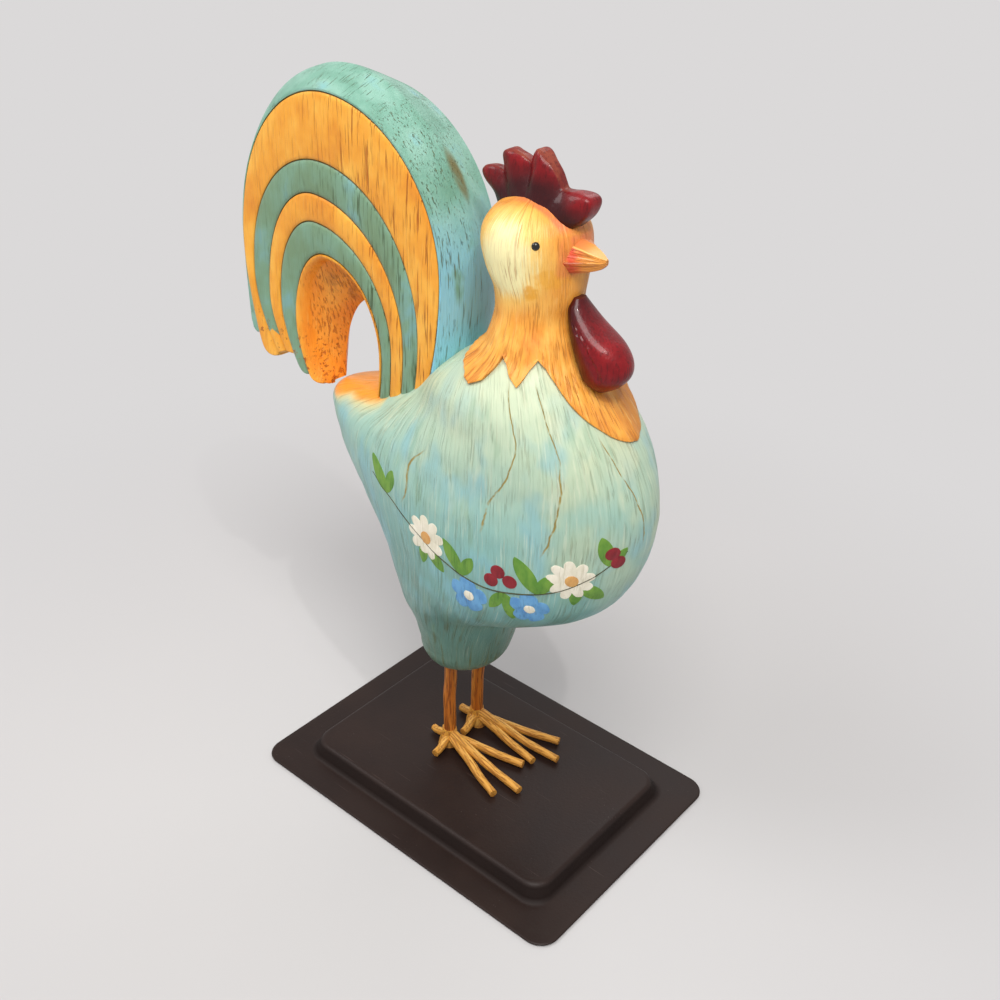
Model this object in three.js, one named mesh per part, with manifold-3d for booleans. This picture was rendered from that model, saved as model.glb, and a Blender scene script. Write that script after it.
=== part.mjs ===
import * as THREE from 'three';
import { mergeVertices } from 'three/addons/utils/BufferGeometryUtils.js';
import Module from 'manifold-3d';

// A painted rooster figurine that stands on two steel rods over a pressed steel tray.
// Millimetres, +Z up, beak towards +X, the rooster's left side towards +Y.
// The rooster is drawn in a frame of its own: X from the line of the legs, Y from its middle
// plane, Z from the foot of the stump under its body. The tray is drawn round its own middle.

const wasm = await Module();
wasm.setup();

// Clearance between pieces that touch
const fit = 0.3;

// Tray
const trayLength = 178;
const trayWidth = 128;
const trayCorner = 9.5;
const sheet = 1.2;
const flange = 13;
const panelTop = 9;
const wallLean = 2.5;
const pressRadius = 2.6;

// Where the legs stand on the tray, from its middle
const legX = -20;
const middleY = 7.2;

// Legs and feet; each front toe has a length and an angle from straight ahead
const legLength = 51;
const legRadius = 3.1;
const legSpacing = 20.4;
const legInBody = 34;
const legClear = 0.8;
const toeRadius = 2.1;
const hubRadius = 5;
const hubHeight = 9.5;
const feet = [
  { side: 'right', at: -legSpacing / 2, toes: [['inner', 40, 15], ['outer', 43, -19], ['middle', 48.5, -5]] },
  { side: 'left', at: legSpacing / 2, toes: [['inner', 41, -7], ['outer', 44, 19], ['middle', 49, 4.5]] },
];
const middleAnkle = 7.6;
const sideAnkle = 5;
const spur = { length: 11, angle: 176, high: 5, low: 2.6 };
const stub = { length: 13, angle: -80, high: 5, low: 2.6 };
const washerRadius = 6.4;
const washerThickness = 1.1;
const nutAcross = 10;
const nutThickness = 4;

// Body, neck and head as level slices: height, back, front, half width, pinch at the back
const slices = [
  [0, -10, 11, 12, 0],
  [2, -15, 16, 17, 0],
  [6, -18.5, 20, 20.5, 0],
  [14, -20.5, 23, 22, 0],
  [26, -23.5, 26, 24, 0],
  [38, -28.5, 32, 27.5, 0],
  [46, -32.5, 46, 33, 0.05],
  [54, -37, 63, 38, 0.1],
  [65, -43.5, 78, 42, 0.15],
  [83, -57, 88.5, 45, 0.2],
  [105, -72.5, 93, 46.5, 0.25],
  [120, -75.5, 92, 46.3, 0.35],
  [130, -48, 88, 44.5, 0.4],
  [140, -25, 82.5, 41, 0.15],
  [153, -10, 72, 36, 0],
  [164, 6, 63, 28, 0],
  [173, 15.5, 56, 21.5, 0],
  [184, 17, 52, 17.5, 0],
  [194, 16, 52, 17, 0],
  [203, 12, 52.5, 19.5, 0],
  [212, 10, 53, 21, 0],
  [220, 12, 51, 19.2, 0],
  [226, 18, 45, 13.2, 0],
  [229.5, 26, 37, 5.5, 0],
];
const neckSeat = 174.5;

// Collar that hangs from the neck over the shoulders: its edge as turn from the bib, height
const collarProud = 1.4;
const collarFade = 186;
const collarTwist = 7.5;
const collarEdge = [
  [0, 142.8], [7.5, 144.2], [15, 146.6], [22.5, 150.6], [30, 155], [37.5, 160.3], [45, 166.3],
  [52.5, 171], [60, 174], [67.5, 170.3], [75, 164.5], [82.5, 167], [90, 170.7], [97.5, 173.5],
  [105, 163.5], [112.5, 160.5], [127.5, 163], [142.5, 164.5], [157.5, 167], [180, 169],
];

// Comb: lobes fanned round the middle of the head as angle, reach, and half angle behind and ahead
const headX = 31.5;
const headZ = 212;
const combFoot = 11;
const combWeb = 25;
const combHalf = 6.6;
const combLobes = [[145, 36.5, 8, 20], [117, 34.8, 12, 22], [84, 36.3, 20, 29], [40, 35.2, 17, 15]];

// Beak: distance ahead, top, bottom, half width
const beakRings = [
  [46, 219.5, 204.3, 7.5], [50.5, 218.3, 205, 7], [55, 216.6, 206.1, 5.6], [59.5, 214.7, 207.8, 3.7],
  [62.8, 212.7, 209.4, 1.9], [64.2, 211.5, 210.5, 0.6],
];

// Wattle as level slices, like the body's
const wattleSlices = [
  [161.5, 64, 69, 2.5, 0], [165, 60, 74.5, 6.5, 0], [172, 56.5, 79, 8.5, 0],
  [180, 53, 78.5, 8.5, 0], [187, 51.5, 71, 7, 0], [193, 51, 62, 4.8, 0], [196.5, 53, 57.5, 2.2, 0],
];

// Eyes
const eyeRadius = 1.7;
const eyeX = 43.9;
const eyeZ = 216.2;
const eyeApart = 32.8;

// Tail: the arches that part its feather bands on the flat sides, from the outside inwards.
// front and rear are the limbs' places at their springs, foot and tip where the limbs end; what
// lies at the top and at the back is measured from the tail's own top and back.
const tailTop = 253.2;
const tailBack = -120.2;
const arches = [
  { front: 0.2, spring: 189, foot: -12, apex: [-63, 0], rear: 0, fall: 178, tip: [0.9, 141] },
  { front: -1, spring: 189, foot: -14, apex: [-63, -1.2], rear: 0.9, fall: 180, tip: [7.8, 136.5] },
  { front: -12.5, spring: 162, foot: -18, apex: [-68, -29], rear: 6.2, fall: 168, tip: [19.2, 130.2] },
  { front: -21, spring: 156, foot: -24, apex: [-72, -43.2], rear: 15.9, fall: 160, tip: [24.7, 132.8] },
  { front: -28, spring: 152, foot: -30, apex: [-72, -55.2], rear: 23.2, fall: 158, tip: [31.7, 133.2] },
  { front: -33.5, spring: 148, foot: -36, apex: [-66, -67.9], rear: 32.9, fall: 152, tip: [39.6, 127] },
  { front: -36.5, spring: 146, foot: -39, apex: [-64, -71.2], rear: 37.7, fall: 152, tip: [46.2, 123] },
];
// Half way through, the hole narrows to this arch
const waist = {
  front: -38.5, spring: 146, foot: -41, apex: [-54, -88.7], rear: 46.7, fall: 122, tip: [45.7, 121.5],
};
const tailFoot = 124;
const tailY = -2.2;
const tailHalf = 17;
const tailHalfTip = 15.4;
const rimCrown = [[0, 8], [0.16, 7.2], [0.27, 3.4], [0.36, 4.5], [0.5, 7], [0.68, 10.5], [0.85, 8], [1, 3]];
const grooveDepth = 0.7;
const grooveHalf = 0.6;
const tipReach = [6, 0.5, 0.5, 4, 1.6];

// Dowels
const neckDowel = { name: 'neck_dowel', radius: 4, x: 34, y: 0, low: neckSeat - 38.5, high: neckSeat + 21.5 };
const tailDowels = [
  { name: 'tail_dowel_rear', radius: 3, x: -26, y: tailY, low: tailFoot - 16, high: tailFoot + 38 },
  { name: 'tail_dowel_front', radius: 3, x: -11, y: tailY, low: tailFoot - 2, high: tailFoot + 52 },
];

const finishes = {
  steel: { color: 0x3a2c2a, roughness: 0.45, metalness: 0.3 },
  rust: { color: 0x9a6428, roughness: 0.75, metalness: 0 },
  mustard: { color: 0xb07c2c, roughness: 0.75, metalness: 0 },
  zinc: { color: 0xb4b4b0, roughness: 0.4, metalness: 0.9 },
  teal: { color: 0x94c4ba, roughness: 0.7, metalness: 0 },
  seaGreen: { color: 0x6fb0a0, roughness: 0.7, metalness: 0 },
  orange: { color: 0xe8a040, roughness: 0.65, metalness: 0 },
  crimson: { color: 0x7a1018, roughness: 0.25, metalness: 0 },
  black: { color: 0x0a0908, roughness: 0.1, metalness: 0 },
  beech: { color: 0xd8b888, roughness: 0.8, metalness: 0 },
};

const V = (x, y, z) => new THREE.Vector3(x, y, z);
const radians = THREE.MathUtils.degToRad;

// Joins a stack of rings into a closed skin. The ends are closed by a fan round their middle,
// or by a strip across where the second half of the ring mirrors the first.
function loft(rings, closeByStrip = false) {
  const count = rings[0].length;
  const points = rings.flat();
  const index = [];
  for (let r = 0; r + 1 < rings.length; r++) {
    for (let i = 0; i < count; i++) {
      const a = r * count + i;
      const b = r * count + (i + 1) % count;
      index.push(a, b, b + count, a, b + count, a + count);
    }
  }
  const last = (rings.length - 1) * count;
  if (closeByStrip) {
    for (let a = 0; a < count / 2; a++) {
      const [b, c, d] = [a + 1, count - a - 1, (count - a) % count];
      if (b !== c) index.push(a, c, b, last + a, last + b, last + c);
      if (a !== d) index.push(a, d, c, last + a, last + c, last + d);
    }
  } else {
    points.push(middle(rings[0]), middle(rings.at(-1)));
    for (let i = 0; i < count; i++) {
      const j = (i + 1) % count;
      index.push(points.length - 2, j, i, points.length - 1, last + i, last + j);
    }
  }
  const geometry = new THREE.BufferGeometry().setFromPoints(points);
  geometry.setIndex(index);
  return geometry;
}

function middle(ring) {
  return ring.reduce((sum, point) => sum.add(point), V(0, 0, 0)).divideScalar(ring.length);
}

// The geometry with nothing but its positions, shared between faces
function bare(geometry) {
  const copy = geometry.clone();
  for (const name of Object.keys(copy.attributes)) {
    if (name !== 'position') copy.deleteAttribute(name);
  }
  return mergeVertices(copy, 1e-4);
}

function solid(geometry) {
  const merged = bare(geometry);
  return new wasm.Manifold(new wasm.Mesh({
    numProp: 3,
    vertProperties: new Float32Array(merged.attributes.position.array),
    triVerts: new Uint32Array(merged.index.array),
  }));
}

function skin(body) {
  const mesh = body.getMesh();
  const geometry = new THREE.BufferGeometry();
  geometry.setAttribute('position', new THREE.BufferAttribute(mesh.vertProperties, 3));
  geometry.setIndex(new THREE.BufferAttribute(mesh.triVerts, 1));
  return geometry;
}

// The geometry pushed outwards by the clearance, ready to cut a neighbour
function cutter(geometry) {
  const merged = bare(geometry);
  merged.computeVertexNormals();
  const { position, normal } = merged.attributes;
  for (let i = 0; i < position.count; i++) {
    const point = V().fromBufferAttribute(position, i);
    point.addScaledVector(V().fromBufferAttribute(normal, i), fit);
    position.setXYZ(i, point.x, point.y, point.z);
  }
  return solid(merged);
}

function cut(geometry, ...cutters) {
  return skin(cutters.reduce((left, tool) => left.subtract(tool), solid(geometry)));
}

// An upright cylinder between two heights
function post(radius, low, high, x, y, sides = 16) {
  const geometry = new THREE.CylinderGeometry(radius, radius, high - low, sides);
  return geometry.rotateX(Math.PI / 2).translate(x, y, (low + high) / 2);
}

// A smooth curve through the measures of a list of level slices
function measure(list) {
  const heights = list.map(([z]) => z);
  const values = list.flatMap(([, ...rest]) => rest);
  const curve = new THREE.CubicInterpolant(heights, values, list[0].length - 1);
  return (z) => [...curve.evaluate(z)];
}

function slicePoint([back, front, half, pinch], turn, z, lift = 0) {
  const along = Math.cos(turn);
  const narrow = 1 - pinch * (1 - along) / 2;
  const x = (back + front) / 2 + along * ((front - back) / 2 + lift);
  return V(x, (half * narrow + lift) * Math.sin(turn), z);
}

function ringOf(sides, place) {
  return Array.from({ length: sides }, (_, i) => place(2 * Math.PI * i / sides));
}

const range = (count, from, to) => Array.from({ length: count + 1 }, (_, i) => from + (to - from) * i / count);

const figure = measure(slices);
const figureTop = slices.at(-1)[0];
const figureSides = 32;
const collarSides = 48;

function trayRing(inset, z) {
  const steps = 3;
  const halfX = trayLength / 2 - inset - trayCorner;
  const halfY = trayWidth / 2 - inset - trayCorner;
  return [[1, 1], [-1, 1], [-1, -1], [1, -1]].flatMap(([sx, sy], quarter) => range(steps, 0, 1).map((share) => {
    const turn = (quarter + share) * Math.PI / 2;
    return V(sx * halfX + trayCorner * Math.cos(turn), sy * halfY + trayCorner * Math.sin(turn), z);
  }));
}

// Tray: a flat flange, a bent wall and a raised panel, all of one sheet
function trayForm() {
  const right = Math.PI / 2;
  const wallHead = flange + pressRadius * 2 + wallLean;
  const underside = panelTop - sheet;
  const bend = (inset, z, from, to) => range(2, from, to).map((turn) => (
    [inset + pressRadius * Math.sin(turn), z - pressRadius * Math.cos(turn)]));
  const profile = [
    [wallHead + sheet, underside],
    ...bend(wallHead + sheet / 2, underside - pressRadius, Math.PI, Math.PI + right),
    ...bend(flange + sheet, pressRadius, right, 0),
    [0, 0], [0, sheet],
    ...bend(flange - sheet / 2, sheet + pressRadius, 0, right),
    ...bend(wallHead, panelTop - pressRadius, -right, -Math.PI),
  ];
  const holes = feet.map(({ at }) => post(legRadius + fit, 0, panelTop + 1, legX, middleY + at));
  return cut(loft(profile.map(([inset, z]) => trayRing(inset, z))), ...holes.map(solid));
}

// Hub: a lump round the leg rod, where the toes meet
function hubForm() {
  const profile = [
    [legRadius + fit, fit], [hubRadius, fit], [hubRadius, hubHeight / 2], [legRadius + 1.2, hubHeight],
    [legRadius + fit, hubHeight], [legRadius + fit, fit],
  ];
  return new THREE.LatheGeometry(profile.map(([r, z]) => new THREE.Vector2(r, z)), 18).rotateX(Math.PI / 2);
}

// A round rod that starts inside the hub and comes down to a lower height at its end
function toeForm(angle, length, high, low) {
  const ahead = V(Math.cos(radians(angle)), Math.sin(radians(angle)), 0);
  const start = legRadius + fit + 0.6;
  const path = new THREE.CatmullRomCurve3([[0, 1], [0.25, 0.62], [0.6, 0.14], [1, 0]].map(([share, rise]) => (
    ahead.clone().multiplyScalar(start + share * (length - start)).setZ(low + rise * (high - low)))));
  const round = new THREE.Shape().absarc(0, 0, toeRadius, 0, 2 * Math.PI);
  return new THREE.ExtrudeGeometry(round, { extrudePath: path, steps: 5, curveSegments: 5 });
}

// Body: the slices from the stump up to the seat of the neck
function bodyForm() {
  const heights = [...range(3, 0, 9), ...range(21, 15, neckSeat)];
  return loft(heights.map((z) => ringOf(figureSides, (turn) => slicePoint(figure(z), turn, z))));
}

// Neck and head, with the collar as a thin skirt over the body
function neckForm() {
  const edge = measure(collarEdge);
  const seat = neckSeat + fit;
  const skirt = (share, lift) => ringOf(collarSides, (turn) => {
    const away = Math.abs(THREE.MathUtils.radToDeg(turn) - collarTwist);
    const z = THREE.MathUtils.lerp(edge(Math.min(away, 360 - away))[0], seat, share);
    return slicePoint(figure(z), turn, z, lift);
  });
  const inner = [1, 0.5, 0].map((share) => skirt(share, -1));
  const outer = [0, 0.35, 0.7, 1].map((share) => skirt(share, collarProud));
  const neck = range(10, seat, figureTop).slice(1).map((z) => {
    const lift = collarProud * (1 - THREE.MathUtils.smoothstep(z, seat, collarFade));
    return ringOf(collarSides, (turn) => slicePoint(figure(z), turn, z, lift));
  });
  return loft([...inner, ...outer, ...neck]);
}

// Comb: a fan of thick rounded lobes, with valleys between them
function combForm() {
  const reach = (angle) => Math.max(...combLobes.map(([at, far, behind, ahead]) => {
    const away = Math.min(1, angle > at ? (angle - at) / behind : (at - angle) / ahead);
    return combWeb + (far - combWeb) * Math.sqrt(1 - away ** 2.4);
  }));
  const first = combLobes[0][0] + combLobes[0][2];
  const last = combLobes.at(-1)[0] - combLobes.at(-1)[3];
  const steps = 30;
  return loft(range(steps, last, first).map((angle, i) => {
    const end = Math.min(1, 1.3 * Math.sqrt(Math.sin(Math.PI * (i + 0.4) / (steps + 0.8))));
    const far = combFoot + (reach(angle) - combFoot) * end;
    const half = combHalf * end * (0.8 + 0.2 * (reach(angle) - combWeb) / 8);
    return ringOf(12, (turn) => {
      const r = (far + combFoot) / 2 + (far - combFoot) / 2 * Math.cos(turn);
      const wide = half * Math.sign(Math.sin(turn)) * Math.abs(Math.sin(turn)) ** 0.6;
      return V(headX + r * Math.cos(radians(angle)), wide, headZ + r * Math.sin(radians(angle)));
    });
  }));
}

function beakForm() {
  return loft(beakRings.map(([x, top, bottom, half]) => ringOf(12, (turn) => V(
    x, half * Math.cos(turn), (top + bottom) / 2 + (top - bottom) / 2 * Math.sin(turn)))));
}

function wattleForm() {
  const shape = measure(wattleSlices);
  const heights = range(9, wattleSlices[0][0], wattleSlices.at(-1)[0]);
  return loft(heights.map((z) => ringOf(16, (turn) => slicePoint(shape(z), turn, z))));
}

function eyeForm(side, radius) {
  return new THREE.SphereGeometry(radius, 10, 7).translate(eyeX, side * eyeApart / 2, eyeZ);
}

// A point on one arch of the tail: up the front limb, over the top and down the rear limb
function archPoint({ front, spring, foot, apex, rear, fall, tip }, t) {
  const limb = 0.16;
  const back = tailBack + rear;
  if (t < limb) {
    const s = 1 - t / limb;
    return [front + s * s * (foot - front), spring - s * (spring - tailFoot)];
  }
  if (t > 1 - limb) {
    const s = (t - 1 + limb) / limb;
    return [back + s * s * (tailBack + tip[0] - back), fall - s * (fall - tip[1])];
  }
  const turn = Math.PI * (t - limb) / (1 - 2 * limb);
  const [side, base] = turn < Math.PI / 2 ? [front, spring] : [back, fall];
  const top = tailTop + apex[1];
  return [apex[0] + Math.abs(Math.cos(turn)) * (side - apex[0]), base + (top - base) * Math.sin(turn)];
}

// Tail: a thick arch whose flat sides are grooved into feather bands with stepped, round tips,
// whose outer edge rises to a ridge along the middle, and whose hole slopes in to its waist
function tailForm() {
  const crown = measure(rimCrown);
  const rings = range(25, 0, 1).map((t) => {
    const line = arches.map((arch) => new THREE.Vector2(...archPoint(arch, t)));
    const half = THREE.MathUtils.lerp(tailHalf, tailHalfTip, t);
    const out = line[0].clone().sub(line[2]).normalize().multiplyScalar(crown(t)[0]);
    const side = [[line[0].clone().addScaledVector(out, 0.6), half * 0.68], [line[0], half]];
    for (let i = 1; i + 1 < line.length; i++) {
      const back = line[i - 1].clone().sub(line[i]);
      const on = line[i + 1].clone().sub(line[i]);
      const rim = (along) => line[i].clone().addScaledVector(along, Math.min(0.4, grooveHalf / along.length()));
      const centre = line[i].clone().addScaledVector(on, 0.5);
      if (t === 1) centre.y -= tipReach[i - 1];
      side.push([rim(back), half], [line[i], half - grooveDepth], [rim(on), half], [centre, half]);
    }
    side.push([line.at(-1), half - 1.5]);
    const ridge = line[0].clone().add(out);
    const [waistX, waistZ] = archPoint(waist, t);
    const far = side.map(([p, y]) => V(p.x, y, p.y));
    const near = side.map(([p, y]) => V(p.x, -y, p.y)).reverse();
    return [V(ridge.x, 0, ridge.y), ...far, V(waistX, 0, waistZ), ...near];
  });
  return loft(rings, true).translate(0, tailY, 0);
}

const group = new THREE.Group();

function add(name, geometry, finish, parent) {
  const mesh = new THREE.Mesh(geometry, new THREE.MeshStandardMaterial(finishes[finish]));
  mesh.name = name;
  parent.add(mesh);
}

add('tray', trayForm(), 'steel', group);

// The stand's frame is the rooster's, but its Z starts on the panel
const stand = new THREE.Group();
stand.position.set(legX, middleY, panelTop);
group.add(stand);
const rod = legRadius + fit;
const hub = hubForm();
const hubCutters = [cutter(hub), solid(post(rod, 0, hubHeight, 0, 0))];
for (const { side, at, toes } of feet) {
  const place = (name, geometry, finish) => add(`${name}_${side}`, geometry.translate(0, at, 0), finish, stand);
  const rest = toeRadius + fit;
  const forms = toes.map(([, length, angle], i) => (
    toeForm(angle, length, i === 2 ? middleAnkle : sideAnkle, rest)));
  place('leg_rod', post(legRadius, legClear - panelTop, legLength + legInBody, 0, 0), 'rust');
  place('hub', hub.clone(), 'mustard');
  toes.forEach(([name], i) => {
    place(`toe_${name}`, cut(forms[i], ...hubCutters, ...forms.slice(i + 1).map(cutter)), 'mustard');
  });
  for (const [name, { length, angle, high, low }] of [['spur', spur], ['stub', stub]]) {
    place(name, cut(toeForm(angle, length, high, low), ...hubCutters), 'mustard');
  }
  const washerTop = -sheet - fit;
  const nutTop = washerTop - washerThickness - fit;
  const hole = solid(post(rod, -panelTop, 0, 0, 0));
  place('washer', cut(post(washerRadius, washerTop - washerThickness, washerTop, 0, 0), hole), 'zinc');
  place('nut', cut(post(nutAcross / Math.sqrt(3), nutTop - nutThickness, nutTop, 0, 0, 6), hole), 'zinc');
}

const rooster = new THREE.Group();
rooster.position.set(legX, middleY, panelTop + legLength);
group.add(rooster);
const sockets = feet.map(({ at }) => solid(post(rod, -1, legInBody + fit, 0, at)));
const dowelHole = ({ radius, x, y, low, high }) => solid(post(radius + fit, low - fit, high + fit, x, y));
const neckHole = dowelHole(neckDowel);
const tailHoles = tailDowels.map(dowelHole);
const eyeHoles = [-1, 1].map((side) => solid(eyeForm(side, eyeRadius + fit)));
const body = cut(bodyForm(), ...sockets, neckHole, ...tailHoles);
const bodyCutter = cutter(bodyForm());
const neckOuter = skin(solid(neckForm()).subtract(bodyCutter));
const neckCutter = cutter(neckForm());
add('body', body, 'teal', rooster);
add('neck_head', cut(neckOuter, neckHole, ...eyeHoles), 'orange', rooster);
add('comb', cut(combForm(), neckCutter), 'crimson', rooster);
add('beak', cut(beakForm(), neckCutter), 'orange', rooster);
add('wattle', cut(wattleForm(), bodyCutter, neckCutter), 'crimson', rooster);
add('tail', cut(tailForm(), bodyCutter, neckCutter, ...tailHoles), 'seaGreen', rooster);
add('eye_right', eyeForm(-1, eyeRadius), 'black', rooster);
add('eye_left', eyeForm(1, eyeRadius), 'black', rooster);
for (const { name, radius, x, y, low, high } of [neckDowel, ...tailDowels]) {
  add(name, post(radius, low, high, x, y, 12), 'beech', rooster);
}

// The origin goes to the middle of the object's foot
const box = new THREE.Box3().setFromObject(group, true);
const foot = box.getCenter(V()).setZ(box.min.z);
for (const child of group.children) child.position.sub(foot);

export default group;
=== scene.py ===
import bmesh
import bpy
import numpy as np
from mathutils import Matrix, Vector


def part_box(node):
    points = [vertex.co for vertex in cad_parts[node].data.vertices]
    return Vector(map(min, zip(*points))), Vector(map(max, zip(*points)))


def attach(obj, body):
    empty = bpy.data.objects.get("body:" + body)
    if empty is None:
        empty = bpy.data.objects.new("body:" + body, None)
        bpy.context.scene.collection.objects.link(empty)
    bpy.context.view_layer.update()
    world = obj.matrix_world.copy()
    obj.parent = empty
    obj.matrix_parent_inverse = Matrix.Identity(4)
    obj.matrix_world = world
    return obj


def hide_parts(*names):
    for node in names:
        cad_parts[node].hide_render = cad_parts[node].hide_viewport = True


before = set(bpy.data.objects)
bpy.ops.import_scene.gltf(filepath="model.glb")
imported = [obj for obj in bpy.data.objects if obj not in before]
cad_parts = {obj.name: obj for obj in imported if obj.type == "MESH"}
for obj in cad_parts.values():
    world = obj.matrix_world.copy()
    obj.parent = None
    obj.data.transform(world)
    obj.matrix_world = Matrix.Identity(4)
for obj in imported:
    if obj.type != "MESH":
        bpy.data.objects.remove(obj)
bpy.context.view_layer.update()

mm = 0.001
trayLow, trayHigh = (np.array(corner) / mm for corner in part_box("tray"))
trayMiddle = (trayLow + trayHigh) / 2 * (1, 1, 0)
stump = (-20, 7.2, 60)    # foot of the body's stump, from the middle of the tray's foot
home = trayMiddle + stump    # where the rooster's own millimetres start

# The photograph's viewpoint, in millimetres from the middle of the tray's foot
viewpoint = {
    "place": (278.4, -336.0, 422.4), "azimuth": 39.22, "elevation": 31.36, "roll": 2.13, "lens": 43.33,
}


def addObject(name, data):
    # an object of the scene at the origin, unturned and unscaled
    made = bpy.data.objects.new(name, data)
    bpy.context.scene.collection.objects.link(made)
    return made


def aimCamera(place, azimuth, elevation, roll, lens):
    # back = (sin a cos e, -cos a cos e, sin e); right = Z x back; both turned about back by the roll
    a, e, r = np.radians((azimuth, elevation, roll))
    back = Vector((np.sin(a) * np.cos(e), -np.cos(a) * np.cos(e), np.sin(e)))
    right = Vector((0, 0, 1)).cross(back).normalized()
    up = back.cross(right)
    turned = np.cos(r) * right + np.sin(r) * up, np.cos(r) * up - np.sin(r) * right
    data = bpy.data.cameras.new("camera")
    data.lens, data.sensor_width, data.sensor_height, data.sensor_fit = lens, 36, 36, "AUTO"
    data.clip_end = 20
    camera = addObject("camera", data)
    facing = Matrix((turned[0], turned[1], back)).transposed().to_4x4()
    camera.matrix_world = Matrix.Translation(Vector((trayMiddle + place) * mm)) @ facing
    bpy.context.scene.camera = camera


aimCamera(**viewpoint)
print("camera placed")


def tone(red, green, blue):
    # a colour as a screen shows it, 0 to 255, as the linear light the shader works in
    share = np.array((red, green, blue)) / 255
    linear = np.where(share < 0.04045, share / 12.92, ((share + 0.055) / 1.055) ** 2.4)
    return (*(float(part) for part in linear), 1.0)


def byMath(operation):
    # a method that adds the Math node of this operation, on the wire and the other terms
    return lambda wire, *others: wire.look.maths(operation, wire, *others)


class Wire:
    # an output socket that Python's arithmetic works on; each sum adds its Math node

    __add__, __sub__, __mul__ = byMath("ADD"), byMath("SUBTRACT"), byMath("MULTIPLY")
    __truediv__, __pow__ = byMath("DIVIDE"), byMath("POWER")
    __radd__, __rmul__ = __add__, __mul__
    size, most, least, root = byMath("ABSOLUTE"), byMath("MAXIMUM"), byMath("MINIMUM"), byMath("SQRT")

    def __init__(self, look, socket):
        self.look, self.socket = look, socket

    def __rsub__(self, other):
        # the other term less the wire
        return self.look.maths("SUBTRACT", other, self)

    def rise(self, low, high):
        # 0 below low, 1 above high and a smooth step between; high may be under low
        return self.look.node("MapRange", {"interpolation_type": "SMOOTHSTEP"},
                              {"Value": self, "From Min": low, "From Max": high})


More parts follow.
